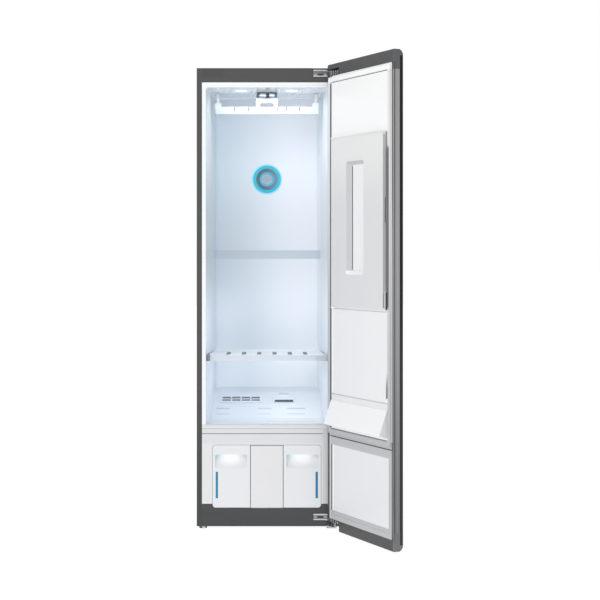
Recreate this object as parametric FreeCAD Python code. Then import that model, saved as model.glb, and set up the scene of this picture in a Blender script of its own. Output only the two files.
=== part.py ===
import FreeCAD, Part

import math
import os

os.makedirs("parts", exist_ok=True)

V = FreeCAD.Vector

# ---- outside of the cabinet
width = 596.0
height = 1960.0
body_depth = 545.0
foot_height = 12.0
sheet = 1.0
strip_width = 22.5          # dark front edge of each side panel
liner_rim = 16.0            # white rim between that edge and the chamber
top_band_height = 61.0
top_rim = 21.0
band_depth = 14.0
kick_top = 108.0

# ---- chamber
chamber_floor = 447.0
chamber_back_gap = 45.0     # behind the chamber, for the air duct
liner_wall = 3.0
wall_draft = 0.053          # inward lean of the side walls per mm of depth
corner_radius = 18.0
mouth_radius = 12.0
floor_ledge = 80.0          # level part behind the slope
slope_run = 180.0
ledge_front_z = 545.0
ledge_back_z = 561.5
groove_z = 1147.0
groove_height = 39.0
groove_depth = 1.5
rim_bottom = 19.0

# ---- hanger bar and its rocker drive
bar_y = 240.0
bar_half = 228.0
bar_height = 34.0
bar_depth = 30.0
bar_drop = 61.0             # ceiling to the top of the bar
bar_stroke = 8.4
hanger_x = 215.0
hanger_width = 10.0
hanger_thick = 12.0
shoulder_width = 28.0
shoulder_rise = 17.0
seat_width = 3.0             # grooves in the bar that keep hooks apart
seat_depth = 1.5
seat_length = 22.0
seat_near = 81.0
seat_far = 143.0
dome_radius = 46.5
dome_height = 22.0
rocker_drop = 10.0          # ceiling to the rocker's pivot
rocker_length = 26.0
rocker_width = 5.0
rocker_pin_radius = 4.0
rocker_axle_radius = 3.0

# ---- light and steam fittings
lamp_in = 65.0
lamp_out = 153.0
lamp_front = 42.0
lamp_back = 210.0
ring_z = 1510.0
ring_outer = 62.5
ring_inner = 49.0
cone_outer = 33.0
mesh_radius = 22.8

# ---- shelf
shelf_top = 737.0
shelf_front = 30.0
shelf_back = 365.0
shelf_lip = 23.5
shelf_plate = 4.0
shelf_side_gap = 6.0
shelf_slot_pitch = 66.7
shelf_slot_width = 18.0
shelf_slot_length = 190.0
shelf_slot_mid = 140.0
shelf_rear_rise = 3.0
shelf_rear_thick = 8.0
lug_inner = 243.0
lug_outer = 256.0
lug_depth = 16.0
lug_rise = 12.0
ledge_width = 14.0

# ---- filter and outlet in the sloping floor
filter_in = 22.0
filter_out = 210.0
outlet_in = 28.0
outlet_out = 124.0
outlet_slot = 9.0
slope_part_gap = 24.0       # below the top of the slope
slope_part_run = 52.0
filter_depth = 70.0
filter_windows = 4
filter_bar = 8.0

# ---- tank row
tank_half = 231.5
tank_gap = 2.5              # under a tank and beside the middle panel
tank_edge_gap = 1.2         # round the row's outside
centre_half = 68.5
tank_bottom = 89.0
tank_top = 358.0
tank_duct_gap = 48.0        # from a tank's back to the air duct
tank_wall = 2.5
tank_front_thick = 4.0
vessel_side_gap = 1.5       # from the front plate's sides and top in to the vessel
vessel_edge_gap = 2.8
vessel_top_gap = 5.3
grip_bottom = 260.0
grip_height = 57.0
grip_depth = 30.0
window_width = 10.0
window_bottom = 131.0
window_height = 113.0
window_edge = 18.0
bay_wall = 2.5
row_corner = 14.0
divider_z = 406.0

# ---- machinery behind the tanks
duct_back_gap = 17.0
duct_depth = 190.0
duct_x0 = -222.0
duct_x1 = 132.0
duct_z0 = 232.0
duct_top = 438.0
duct_wall = 2.5
duct_leg_x = -138.0
coil_thick = 40.0
evaporator_x = -160.0
condenser_x = -90.0
blower_x = 52.0
blower_z = 335.0
blower_radius = 58.0
motor_length = 70.0
motor_radius = 32.0
compressor_x = -215.0
compressor_radius = 66.0
compressor_height = 162.0
boiler_x = 150.0
boiler_width = 132.0
boiler_depth = 130.0
boiler_height = 160.0
pump_half = 24.0
pump_block_height = 40.0
pump_height = 70.0
water_pump_x = 214.0
drain_pump_x = -60.0
control_x = -252.0
control_width = 160.0
control_depth = 170.0
control_height = 48.0

# ---- door
door_thick = 40.0
door_gap = 8.0
door_angle = 113.5          # how far the door stands open
door_rise = 8.0             # top of the door above the cabinet
pivot_in = 12.0
pivot_back = 26.0
glass_thick = 4.0
trim_depth = 9.5            # dark frame bonded behind the pane
edge_round = 24.0
cap_height = 42.0
cap_top_height = 50.0
cap_corner = 9.0            # rounded corner at the hinge side of the top cap
cap_leg = 28.0
rail_width = 28.0
rail_wall = 2.0
ridge_width = 8.0
ridge_gap = 1.0
ridge_lip = 1.2
liner_inset = 19.0          # from the door's edge to the upper liner's edge
liner_thick = 2.5
skirt = 6.0
plug_half = 254.0
plug_rise = 4.0
plug_top_gap = 30.0
split_drop = 42.0           # chamber floor to the joint between the door's two liners
split_gap = 4.0
plug_lift = 35.0            # that joint to the upper liner's raised field
inset_half = 254.5
inset_bottom = 93.0
inset_top_gap = 35.0        # top of the inset panel to the joint
frame_seam = 78.0
gasket_groove = 4.5
gasket_width = 18.5
gasket_clear = 0.5
hinge_pin_radius = 4.0
hinge_arm_thick = 5.0
hinge_arm_radius = 8.0
notch_length = 108.0
notch_roof = 20.0
leaf_width = 60.0
leaf_low = 26.5             # bottom leaf above the kick's lower edge
leaf_height = 26.0
leaf_top_height = 29.0
leaf_top_gap = 7.0
leaf_thick = 3.0
leaf_slot_end = 17.0
leaf_slot_height = 8.0
riser_width = 8.0
gusset_thick = 3.0
block_gap = 14.0            # end of the notch to the block
block_slit = 3.0
block_step = 40.0           # height above which the bottom block has its full length

# ---- trouser press on the door
press_bottom = 953.0
press_height = 694.0
press_free_x = 252.0
press_axis_x = 212.0
press_thick = 13.0
press_skin = 4.0
press_rim = 7.0
press_base_thick = 7.0
press_gap = 0.5
press_pin_radius = 3.0
slot_hinge_x = 74.0
slot_free_x = 85.0
slot_bottom = 1085.0
slot_top = 1548.0
slot_slope = 32.0           # how far the slot's hinge side slopes in
slot_top_slope = 15.0
slot_low_slope = 17.0
slot_corner = 12.0
latch_bottom = 1295.0
latch_length = 95.0
catch_z = 1022.0
sheet_gap = 30.0            # flap to the sheet above it
sheet_hinge_x = 222.0
sheet_thick = 5.0
flap_lift = 8.0             # raised field's lower edge to the flap
flap_height = 109.0
flap_lip_rise = 10.0
flap_reach = 36.0
flap_half = 252.0
flap_wall = 2.5

# ---- clearances between moving pieces
play = 0.3
bore_play = 0.05

half = width / 2
chamber_depth = body_depth - chamber_back_gap
slope_back = chamber_depth - floor_ledge
slope_front = slope_back - slope_run
slope_part_back = slope_back - slope_part_gap
slope_part_front = slope_part_back - slope_part_run
duct_y1 = body_depth - duct_back_gap
duct_y0 = duct_y1 - duct_depth
tank_length = duct_y0 - tank_duct_gap
strip_in = half - strip_width
open_half = strip_in - liner_rim
band_z = height - top_band_height
ceiling = band_z - top_rim
bar_top = ceiling - bar_drop
bar_bottom = bar_top - bar_height
pivot = V(half - pivot_in, -door_gap - pivot_back, 0)
face_y = -door_gap
outer_y = face_y - door_thick
glass_y = outer_y + glass_thick
trim_y = glass_y + trim_depth
plug_y = face_y + plug_rise
notch_y = glass_y + 1.0
door_bottom = foot_height
door_top = height + door_rise
cap_low = door_bottom + cap_height + 2
cap_high = door_top - cap_top_height
door_split = chamber_floor - split_drop
plug_bottom = door_split + plug_lift
inset_top = door_split - inset_top_gap
flap_bottom = plug_bottom + flap_lift
flap_lip_z = flap_bottom + flap_lip_rise
flap_top = flap_bottom + flap_height
sheet_bottom = flap_top + sheet_gap
leaf_x1 = half - 40.0
leaf_x0 = leaf_x1 - leaf_width
foot_y = 38.0
foot_radius = 17.0
skid_y = body_depth - sheet - foot_y


# ------------------------------------------------------------------ helpers
def box(x0, x1, y0, y1, z0, z1):
    return Part.makeBox(x1 - x0, y1 - y0, z1 - z0, V(x0, y0, z0))


def rod(x, y, z0, z1, r):
    return Part.makeCylinder(r, z1 - z0, V(x, y, z0))


def rod_y(x, z, y0, y1, r):
    return Part.makeCylinder(r, y1 - y0, V(x, y0, z), V(0, 1, 0))


def prism_z(points, z0, z1):
    wire = Part.makePolygon([V(x, y, z0) for x, y in points + points[:1]])
    return Part.Face(wire).extrude(V(0, 0, z1 - z0))


def prism_x(points, x0, x1):
    wire = Part.makePolygon([V(x0, y, z) for y, z in points + points[:1]])
    return Part.Face(wire).extrude(V(x1 - x0, 0, 0))


def prism_y(points, y0, y1):
    wire = Part.makePolygon([V(x, y0, z) for x, z in points + points[:1]])
    return Part.Face(wire).extrude(V(0, y1 - y0, 0))


def join(first, *others):
    return first.fuse(list(others)).removeSplitter()


def mirror_x(shape):
    return shape.mirror(V(0, 0, 0), V(1, 0, 0))


def round_off(shape, direction, radius, keep):
    """Fillet the straight edges along a direction whose middle passes the test keep(point)."""
    edges = []
    for edge in shape.Edges:
        if len(edge.Vertexes) != 2:
            continue
        run = edge.Vertexes[1].Point.sub(edge.Vertexes[0].Point)
        along = run.Length > 0 and abs(run.normalize().dot(direction)) > 0.999
        if along and keep(edge.CenterOfMass):
            edges.append(edge)
    return shape.makeFillet(radius, edges) if edges else shape


def save(shape, name):
    """Write a piece, moved so that the origin lies on the floor under the middle of the rear skid."""
    solids = shape.Solids
    out = solids[0] if len(solids) == 1 else Part.makeCompound(solids)
    out.translated(V(0, -skid_y, 0)).exportStep("parts/" + name + ".step")


def on_door(shape):
    """Turn a door piece, drawn shut, to where the door stands open."""
    return shape.rotate(pivot, V(0, 0, 1), door_angle)


def save_door(shape, name):
    save(on_door(shape), name)


# ------------------------------------------------------------- cabinet shell
def side_panel():
    x1 = half
    x0 = half - sheet
    top = height - sheet
    plate = box(x0, x1, 0, body_depth, foot_height, height)
    front = box(strip_in, x1, 0, sheet, foot_height, height)
    lip = box(strip_in, strip_in + sheet, 0, band_depth, foot_height, top)
    return join(plate, front, lip)


def top_panel():
    x = half - sheet
    drop = height - 15.0
    plate = box(-x, x, band_depth, body_depth, height - sheet, height)
    left = box(-x, -x + sheet, band_depth, body_depth - sheet, drop, height)
    front = box(-x, x, band_depth, band_depth + sheet, drop, height)
    return join(plate, left, mirror_x(left), front)


def back_panel():
    x = half - sheet
    plate = box(-x, x, body_depth - sheet, body_depth, foot_height, height - sheet)
    return plate.cut(rod_y(inlet_x, inlet_z, body_depth - 5, body_depth + 5, inlet_radius))


foot_x = half - 26.0
foot_disc = 10.0
stem_radius = 5.0
pan_wall = 2.0
pan_rim = 42.0
blank_width = 90.0
seam_width = 1.5
seam_depth = 0.8
inlet_x = 220.0
inlet_z = 120.0
inlet_radius = 11.0


def base_pan():
    """Pressed pan on a rear skid, with a boss for each front foot."""
    x = half - sheet
    y0 = band_depth
    y1 = body_depth - sheet
    z0 = foot_height
    pan = box(-x, x, y0, y1, z0, z0 + pan_rim)
    w = pan_wall
    pan = pan.cut(box(-x + w, x - w, y0 + w, y1 - w, z0 + w, z0 + pan_rim + 1))
    end = foot_x + foot_radius
    skid = box(-end, end, skid_y - foot_radius, skid_y + foot_radius, 0, z0 + w)
    inner = foot_radius - w
    skid = skid.cut(box(-half, half, skid_y - inner, skid_y + inner, w, z0))
    bosses = [rod(side * foot_x, foot_y, z0, z0 + 26, foot_radius - 5) for side in (-1, 1)]
    pan = join(pan, skid, *bosses)
    for side in (-1, 1):
        pan = pan.cut(rod(side * foot_x, foot_y, z0 - 1, z0 + 30, stem_radius + bore_play))
    return pan


def foot(side):
    x = side * foot_x
    disc = rod(x, foot_y, 0, foot_disc, foot_radius)
    disc = disc.makeChamfer(1.0, [e for e in disc.Edges if len(e.Vertexes) == 1])
    stem = rod(x, foot_y, foot_disc - 1, foot_height + 34, stem_radius)
    return join(disc, stem)


def leaf_z(top):
    """Lower and upper edge of a hinge's leaf."""
    if top:
        z1 = height - leaf_top_gap
        return z1 - leaf_top_height, z1
    z0 = foot_height + leaf_low
    return z0, z0 + leaf_height


def leaf_seat(top):
    z0, z1 = leaf_z(top)
    return box(leaf_x0 - 1, leaf_x1 + 1, -1, leaf_thick, z0 - 1, z1 + 1)


def blank_groove(z, z1):
    """Seam of the clip-in blank on the side that has no hinge."""
    x = -strip_in + blank_width
    across = box(-strip_in, x, -1, seam_depth, z, z + seam_width)
    return across.fuse(box(x - seam_width, x, -1, seam_depth, z, z1))


def top_band():
    wall = 6.0
    band = box(-strip_in, strip_in, 0, band_depth, band_z, height)
    band = band.cut(box(-strip_in + 4, strip_in - 4, wall, band_depth + 1, band_z + 4, height - 4))
    z0, z1 = leaf_z(True)
    band = band.cut(leaf_seat(True))
    band = band.cut(box(leaf_x0 - 4, strip_in - 3, -1, wall + 1, z1 + 1, height + 1))
    band = band.cut(box(leaf_x1 + 1, strip_in - 3, -1, wall + 1, z0 - 1, height + 1))
    return band.cut(blank_groove(height - leaf_top_gap - leaf_top_height, height + 1))


def kick_panel():
    z0 = foot_height
    panel = box(-strip_in, strip_in, 0, band_depth, z0, kick_top)
    hollow = box(-strip_in + 4, strip_in - 4, 6, band_depth + 1, z0 + 4, tank_bottom - bay_wall - 4)
    panel = panel.cut(hollow)
    dip = box(-tank_half, tank_half, -1, band_depth + 1, tank_bottom, kick_top + 1)
    dip = round_off(dip, V(0, 1, 0), row_corner, lambda p: p.z < tank_bottom + 1)
    panel = panel.cut(dip)
    outer = tank_half + bay_wall
    panel = panel.cut(box(-outer, outer, leaf_thick, band_depth + 1, tank_bottom - bay_wall, kick_top + 1))
    panel = panel.cut(leaf_seat(False))
    panel = panel.cut(box(leaf_x1 - riser_width - 1, leaf_x1 + 1, -1, leaf_thick, z0 - 1, z0 + leaf_low))
    return panel.cut(blank_groove(z0 + leaf_low + leaf_height, z0 + leaf_low + leaf_height + 2))


# ------------------------------------------------------------- chamber liner
def half_at(y):
    return open_half - y * wall_draft


def slope_z(y):
    run = (y - slope_front) / (slope_back - slope_front)
    return chamber_floor + run * (ledge_front_z - chamber_floor)


def liner_volume(grow, front):
    """Inside of the chamber, made larger all round by grow and carried forward to y = front."""
    back = chamber_depth + grow
    bottom = chamber_floor - grow
    side = [(front, bottom), (slope_front, bottom), (slope_back, ledge_front_z - grow),
            (back, ledge_back_z - grow), (back, ceiling + grow), (front, ceiling + grow)]
    body = prism_x(side, -half, half)
    plan = [(half_at(front) + grow, front), (half_at(back) + grow, back),
            (-half_at(back) - grow, back), (-half_at(front) - grow, front)]
    post = prism_z(plan, bottom - 10, ceiling + grow + 10)
    post = round_off(post, V(0, 0, 1), corner_radius + grow, lambda p: p.y > front + 50)
    x = half_at(front) + grow
    mouth = box(-x, x, front - 1, back + 1, bottom, ceiling + grow)
    mouth = round_off(mouth, V(0, 1, 0), max(1.0, mouth_radius + grow), lambda p: p.z > ceiling - 50)
    return body.common(post).common(mouth)


def hanger_slot_half():
    return hanger_width / 2 + bar_stroke + 1.5


def lamp_outline(grow, z0, z1):
    x0 = lamp_in - grow
    x1 = lamp_out + grow
    lens = box(x0, x1, lamp_front - grow, lamp_back + grow, z0, z1)
    return round_off(lens, V(0, 0, 1), (x1 - x0) / 2 - 2, lambda p: True)


def floor_lip():
    """Quarter round that leads from the rim up to the chamber's floor."""
    r = mouth_radius
    z = chamber_floor - r
    turn = Part.makeCylinder(r, 2 * open_half, V(-open_half, r, z), V(1, 0, 0))
    hollow = Part.makeCylinder(r - liner_wall, 2 * open_half, V(-open_half, r, z), V(1, 0, 0))
    return turn.cut(hollow).common(box(-half, half, 0, r, z, chamber_floor))


def chamber_liner():
    shell = liner_volume(liner_wall, 0)
    rim = box(-strip_in, strip_in, 0, liner_wall, chamber_floor - rim_bottom, band_z)
    shell = shell.fuse(rim)
    shell = shell.cut(liner_volume(0, -5))
    shell = shell.cut(box(-open_half, open_half, -1, mouth_radius, chamber_floor - mouth_radius, chamber_floor))
    shell = shell.fuse(floor_lip())
    groove = liner_volume(groove_depth, -5).common(
        box(-half, half, 30, body_depth, groove_z, groove_z + groove_height))
    shell = shell.cut(groove)
    rail = liner_volume(1, 20).cut(liner_volume(-ledge_width, 10))
    rail_z = shelf_top - shelf_lip - play
    rail = rail.common(box(-half, half, 22, shelf_back, rail_z - 8, rail_z))
    shell = shell.fuse(rail)
    shell = shell.cut(rod_y(0, ring_z, chamber_depth - 5, chamber_depth + 9, ring_outer - 4))
    for side in (-1, 1):
        x = side * hanger_x
        run = hanger_slot_half()
        wide = hanger_thick / 2 + 5
        shell = shell.cut(box(x - run, x + run, bar_y - wide, bar_y + wide, ceiling - 1, ceiling + 9))
    shell = shell.cut(rod(0, bar_y, ceiling - 1, ceiling + 9, dome_radius - 12))
    hole = lamp_outline(0, ceiling - 1, ceiling + 9)
    shell = shell.cut(hole)
    shell = shell.cut(mirror_x(hole))
    y0 = slope_part_front + 6
    y1 = slope_part_back - 6
    shell = shell.cut(box(-filter_out + 5, -filter_in - 5, y0, y1, chamber_floor, ledge_back_z))
    shell = shell.cut(box(outlet_in + 5, outlet_out - 5, y0, y1, chamber_floor, ledge_back_z))
    return shell.removeSplitter()


def ceiling_lamps():
    """One moulding over the ceiling with two lenses that show through it."""
    lens = lamp_outline(0, ceiling - 2.5, ceiling + liner_wall)
    tray = box(-lamp_out - 6, lamp_out + 6, lamp_front - 6, lamp_back + 6 - 50,
               ceiling + liner_wall, ceiling + liner_wall + 10)
    return join(tray, lens, mirror_x(lens))


def diffuser_housing():
    face = chamber_depth - 5
    body = rod_y(0, ring_z, face, chamber_depth + 22, ring_inner)
    cone = Part.makeCone(cone_outer, mesh_radius, 6, V(0, face - 0.01, ring_z), V(0, 1, 0))
    well = rod_y(0, ring_z, face - 1, chamber_depth + 18, mesh_radius)
    return body.cut(cone).cut(well)


def diffuser_mesh():
    y0 = chamber_depth + 3
    disc = rod_y(0, ring_z, y0, y0 + 2, mesh_radius)
    pitch = 6.4
    holes = []
    for i in range(-3, 4):
        for j in range(-3, 4):
            x = (i + 0.5 * (j % 2)) * pitch
            z = j * pitch * 0.866
            if math.hypot(x, z) < mesh_radius - 3.5:
                holes.append(rod_y(x, ring_z + z, y0 - 1, y0 + 3, 2.2))
    return disc.cut(holes)


def diffuser_light_ring():
    y0 = chamber_depth - 4
    ring = rod_y(0, ring_z, y0, chamber_depth, ring_outer)
    ring = ring.fuse(rod_y(0, ring_z, chamber_depth - 1, chamber_depth + 8, ring_outer - 4))
    return ring.cut(rod_y(0, ring_z, y0 - 1, chamber_depth + 9, ring_inner)).removeSplitter()


# ------------------------------------------------------- hanger bar and drive
rocker_z = ceiling - rocker_drop
rocker_pin_z = rocker_z - rocker_length
yoke_half = 48.0
yoke_leg = 17.0
yoke_window = 16.0
yoke_depth = 14.0
yoke_top = ceiling - dome_height - 2.0
head_reach = 14.0           # how far the bar's heads stand out past their uprights
head_thick = 5.0
drive_half = 62.0
drive_deep = 45.0
drive_height = 46.0
drive_can_x = 34.0
drive_can_height = 64.0
drive_can_radius = 24.0
fork_top = rocker_pin_z + 3.0


def hanger_bar():
    """Bar with hook grooves, a shoulder at each end and an upright that hangs on the chamber's ceiling."""
    z1 = bar_top
    y0 = bar_y - bar_depth / 2
    y1 = bar_y + bar_depth / 2
    bar = box(-bar_half, bar_half, y0, y1, bar_bottom, z1)
    bar = round_off(bar, V(1, 0, 0), 4.0, lambda p: True)
    bar = round_off(bar, V(0, 1, 0), 5.0, lambda p: p.z < bar_bottom + 1)
    band = box(-seat_width / 2, seat_width / 2, y0 - 1, y1 + 1, z1 - seat_length, z1 + 1)
    keep = box(-9, 9, y0 + seat_depth, y1 - seat_depth, bar_bottom - 1, z1 - seat_depth)
    for x in (-seat_far, -seat_near, 0, seat_near, seat_far):
        bar = bar.cut(band.cut(keep).translated(V(x, 0, 0)))
    parts = [bar]
    head_z = ceiling + liner_wall + play
    w = hanger_width / 2
    d = hanger_thick / 2
    shoulder = box(bar_half - shoulder_width, bar_half, y0 + 1, y1 - 1, z1 - 12, z1 + shoulder_rise)
    shoulder = round_off(shoulder, V(0, 1, 0), 5.0, lambda p: p.z > z1)
    post = box(hanger_x - w, hanger_x + w, bar_y - d, bar_y + d, z1, head_z + head_thick)
    d += head_reach
    w += head_thick
    head = box(hanger_x - w, hanger_x + w, bar_y - d, bar_y + d, head_z, head_z + head_thick)
    for piece in (shoulder, post, head):
        parts += [piece, mirror_x(piece)]
    return join(*parts)


def hanger_yoke():
    """Arch on the bar, with a fork in its crown for the rocker's pin."""
    y0 = bar_y - yoke_depth
    y1 = bar_y + yoke_depth
    block = box(-yoke_half, yoke_half, y0, y1, bar_top, yoke_top)
    block = round_off(block, V(0, 1, 0), 9.0, lambda p: p.z > bar_top + 5)
    inner = yoke_half - yoke_leg
    window = box(-inner, inner, y0 - 1, y1 + 1, bar_top - 1, bar_top + yoke_window)
    window = round_off(window, V(0, 1, 0), 11.0, lambda p: p.z > bar_top + 5)
    block = block.cut(window)
    reach = rocker_pin_radius + play
    arm = 6.5
    block = block.cut(box(-9.5, 9.5, bar_y - arm, bar_y + arm, fork_top, yoke_top + 1))
    floor = rocker_pin_z - rocker_pin_radius - 1
    return block.cut(box(-reach, reach, bar_y - arm, bar_y + arm, floor, fork_top + 1))


def hanger_rocker():
    w = rocker_width / 2
    y0 = bar_y - 5.5
    y1 = bar_y + 5.5
    arm = box(-w, w, bar_y - 4, bar_y + 4, rocker_pin_z, rocker_z + 20)
    hub = rod_y(0, rocker_z, y0, y1, 7.0)
    tip = rod_y(0, rocker_pin_z, y0, y1, rocker_pin_radius)
    out = join(arm, hub, tip)
    return out.cut(rod_y(0, rocker_z, y0 - 1, y1 + 1, rocker_axle_radius + bore_play))


def hanger_dome():
    z0 = ceiling - dome_height
    cup = rod(0, bar_y, z0, ceiling, dome_radius)
    cup = cup.makeFillet(7.0, [e for e in cup.Edges if len(e.Vertexes) == 1 and e.CenterOfMass.z < z0 + 1])
    cup = cup.cut(rod(0, bar_y, z0 + 2.5, ceiling + 1, dome_radius - 9))
    cup = cup.cut(box(-11, 11, bar_y - 7, bar_y + 7, z0 - 1, z0 + 3))
    axle = rod_y(0, rocker_z, bar_y - 18, bar_y + 18, rocker_axle_radius)
    posts = []
    for side in (-1, 1):
        y = bar_y + side * 16
        posts.append(box(-6, 6, y - 3, y + 3, z0 + 1, rocker_z + 6))
    return join(cup, axle, *posts)


def hanger_motor():
    z0 = ceiling + liner_wall
    case = box(-drive_half, drive_half, bar_y - drive_deep, bar_y + drive_deep, z0, z0 + drive_height)
    case = round_off(case, V(0, 0, 1), 10.0, lambda p: True)
    can = rod(drive_can_x, bar_y, z0 + drive_height - 6, z0 + drive_can_height, drive_can_radius)
    case = join(case, can)
    return case.cut(box(-14, 14, bar_y - 10, bar_y + 10, z0 - 1, z0 + 20))


# ---------------------------------------------------------------------- shelf
def shelf():
    """Slotted tray with a lip in front, a low rim behind and a lug at each front corner."""
    side_room = -shelf_side_gap
    low = shelf_top - shelf_lip
    top = shelf_top + shelf_rear_rise
    slab = liner_volume(side_room, shelf_front).common(box(-half, half, shelf_front, shelf_back, low, top))
    slab = slab.cut(box(-half, half, shelf_front - 1, shelf_back - shelf_rear_thick, shelf_top, top + 1))
    hollow = liner_volume(side_room - 3, shelf_front + 3).common(
        box(-half, half, shelf_front + 3, shelf_back - 3, low - 1, shelf_top - shelf_plate))
    tray = slab.cut(hollow)
    r = shelf_slot_width / 2
    reach = shelf_slot_length / 2 - r
    z0 = shelf_top - shelf_plate - 1
    z1 = shelf_top + 1
    mid = shelf_front + shelf_slot_mid
    for i in range(6):
        x = (i - 2.5) * shelf_slot_pitch
        slot = box(x - r, x + r, mid - reach, mid + reach, z0, z1)
        ends = [rod(x, mid + s * reach, z0, z1, r) for s in (-1, 1)]
        tray = tray.cut(slot.fuse(ends))
    outline = [(lug_inner, low + 0.5), (lug_outer, low + 0.5), (lug_outer, shelf_top),
               ((lug_inner + lug_outer) / 2, shelf_top + lug_rise), (lug_inner, shelf_top)]
    lug = prism_y(outline, shelf_front - 2, shelf_front - 2 + lug_depth)
    return join(tray, lug, mirror_x(lug))


# --------------------------------------------------------- floor fittings
def slope_slab(x0, x1, low, high):
    """Slab lying on the sloping floor, from low to high above its surface."""
    y0 = slope_part_front
    y1 = slope_part_back
    side = [(y0, slope_z(y0) + low), (y1, slope_z(y1) + low),
            (y1, slope_z(y1) + high), (y0, slope_z(y0) + high)]
    return prism_x(side, x0, x1)


def slope_well(x0, x1, y0, y1, bottom, lift):
    side = [(y0, bottom), (y1, bottom), (y1, slope_z(y1) + lift), (y0, slope_z(y0) + lift)]
    return prism_x(side, x0, x1)


filter_bottom = slope_z(slope_part_front) - filter_depth


def lint_filter():
    """Lift-out filter: a slotted plate on the slope over a well that is open below."""
    x0 = -filter_out
    x1 = -filter_in
    plate = slope_slab(x0, x1, play, play + 3)
    y0 = slope_part_front + 7.5
    y1 = slope_part_back - 7.5
    well = slope_well(x0 + 6.5, x1 - 6.5, y0, y1, filter_bottom, play + 1)
    well = well.cut(box(x0 + 8.5, x1 - 8.5, y0 + 2, y1 - 2, filter_bottom - 1, ledge_back_z))
    body = plate.fuse(well)
    span = (x1 - x0 - 14) / filter_windows
    first = y0 + 3.5
    slot = (y1 - 3.5 - first - filter_bar) / 2
    for i in range(filter_windows):
        left = x0 + 7 + i * span + 3
        for y in (first, first + slot + filter_bar):
            body = body.cut(box(left, left + span - 6, y, y + slot, filter_bottom + 12, ledge_back_z))
    return body.removeSplitter()


def steam_outlet():
    x0 = outlet_in
    x1 = outlet_out
    plate = slope_slab(x0, x1, 0, 4)
    y0 = slope_part_front + 6
    y1 = slope_part_back - 6
    well = slope_well(x0 + 5, x1 - 5, y0, y1, duct_top, 2)
    tab = prism_x([(y1 - 6, slope_z(y1 - 6)), (y1 + 5, slope_z(y1 + 5)),
                   (y1 + 5, slope_z(y1 + 5) + 12), (y1 + 1, slope_z(y1 + 1) + 12)], x0 + 25, x1 - 27)
    body = join(plate, well, tab)
    slot = box(x0 + 7, x1 - 7, y0 + 5, y0 + 5 + outlet_slot, duct_top - 1, ledge_back_z)
    return body.cut(slot)


# ------------------------------------------------------------ lower front
def lower_front_panel():
    z1 = chamber_floor - rim_bottom
    panel = box(-strip_in, strip_in, 0, leaf_thick, kick_top, z1)
    side_rib = box(strip_in - 3, strip_in, 0, band_depth, kick_top, z1)
    top_rib = box(-strip_in, strip_in, 0, band_depth, z1 - 3, z1)
    panel = join(panel, side_rib, mirror_x(side_rib), top_rib)
    gap = box(-tank_half, tank_half, -1, band_depth + 1, kick_top - 1, tank_top)
    gap = round_off(gap, V(0, 1, 0), row_corner, lambda p: p.z > tank_top - 1)
    panel = panel.cut(gap)
    seam = 1.5
    panel = panel.cut(box(-strip_in, strip_in, -1, seam, z1 - seam, z1 + 1))
    return panel.cut(box(-strip_in, strip_in, -1, seam, divider_z - seam, divider_z + seam))


def tank_bay():
    w = bay_wall
    y1 = tank_length + 12
    outer = box(-tank_half - w, tank_half + w, leaf_thick, y1, tank_bottom - w, tank_top + w)
    top = tank_top - tank_edge_gap
    column = box(-centre_half, centre_half, 0, leaf_thick + 1, tank_bottom + tank_gap, top)
    body = outer.fuse(column)
    room = box(centre_half, tank_half, leaf_thick - 1, y1 - w, tank_bottom, tank_top)
    body = body.cut(room)
    body = body.cut(mirror_x(room))
    core = box(-centre_half + w, centre_half - w, leaf_thick + w, y1 + 1, tank_bottom + w, tank_top - w)
    return body.cut(core).removeSplitter()


def tank_limits():
    x0 = centre_half + tank_gap
    x1 = tank_half - tank_edge_gap
    return x0, x1, tank_bottom + tank_gap, tank_top - tank_edge_gap


def tank_front():
    """Tank's face with a scooped grip, deep at its top and flush at its foot."""
    x0, x1, z0, z1 = tank_limits()
    plate = box(x0, x1, 0, tank_front_thick, z0, z1)
    plate = round_off(plate, V(0, 1, 0), row_corner - tank_edge_gap, lambda p: p.x > x1 - 1)
    gx0 = x0 + 13
    gx1 = x1 - 11
    top = grip_bottom + grip_height
    wall = 2.0
    shell = prism_x([(1, grip_bottom - 2 * wall), (grip_depth + wall, top - wall),
                     (grip_depth + wall, top + wall), (1, top + wall)], gx0 - wall, gx1 + wall)
    plate = plate.fuse(shell)
    scoop = prism_x([(-1, grip_bottom), (0, grip_bottom), (grip_depth, top), (-1, top)], gx0, gx1)
    trim = box(gx0, gx1, -2, grip_depth + 1, grip_bottom - 20, top)
    trim = round_off(trim, V(0, 1, 0), 8.0, lambda p: p.z > top - 1)
    plate = plate.cut(scoop.common(trim))
    wx = x1 - window_edge
    plate = plate.cut(box(wx - window_width / 2, wx + window_width / 2, -1, tank_front_thick + 1,
                          window_bottom, window_bottom + window_height))
    return plate.removeSplitter()


def tank_window():
    wx = tank_limits()[1] - window_edge
    w = window_width / 2
    return box(wx - w, wx + w, 0.8, tank_front_thick, window_bottom, window_bottom + window_height)


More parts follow.
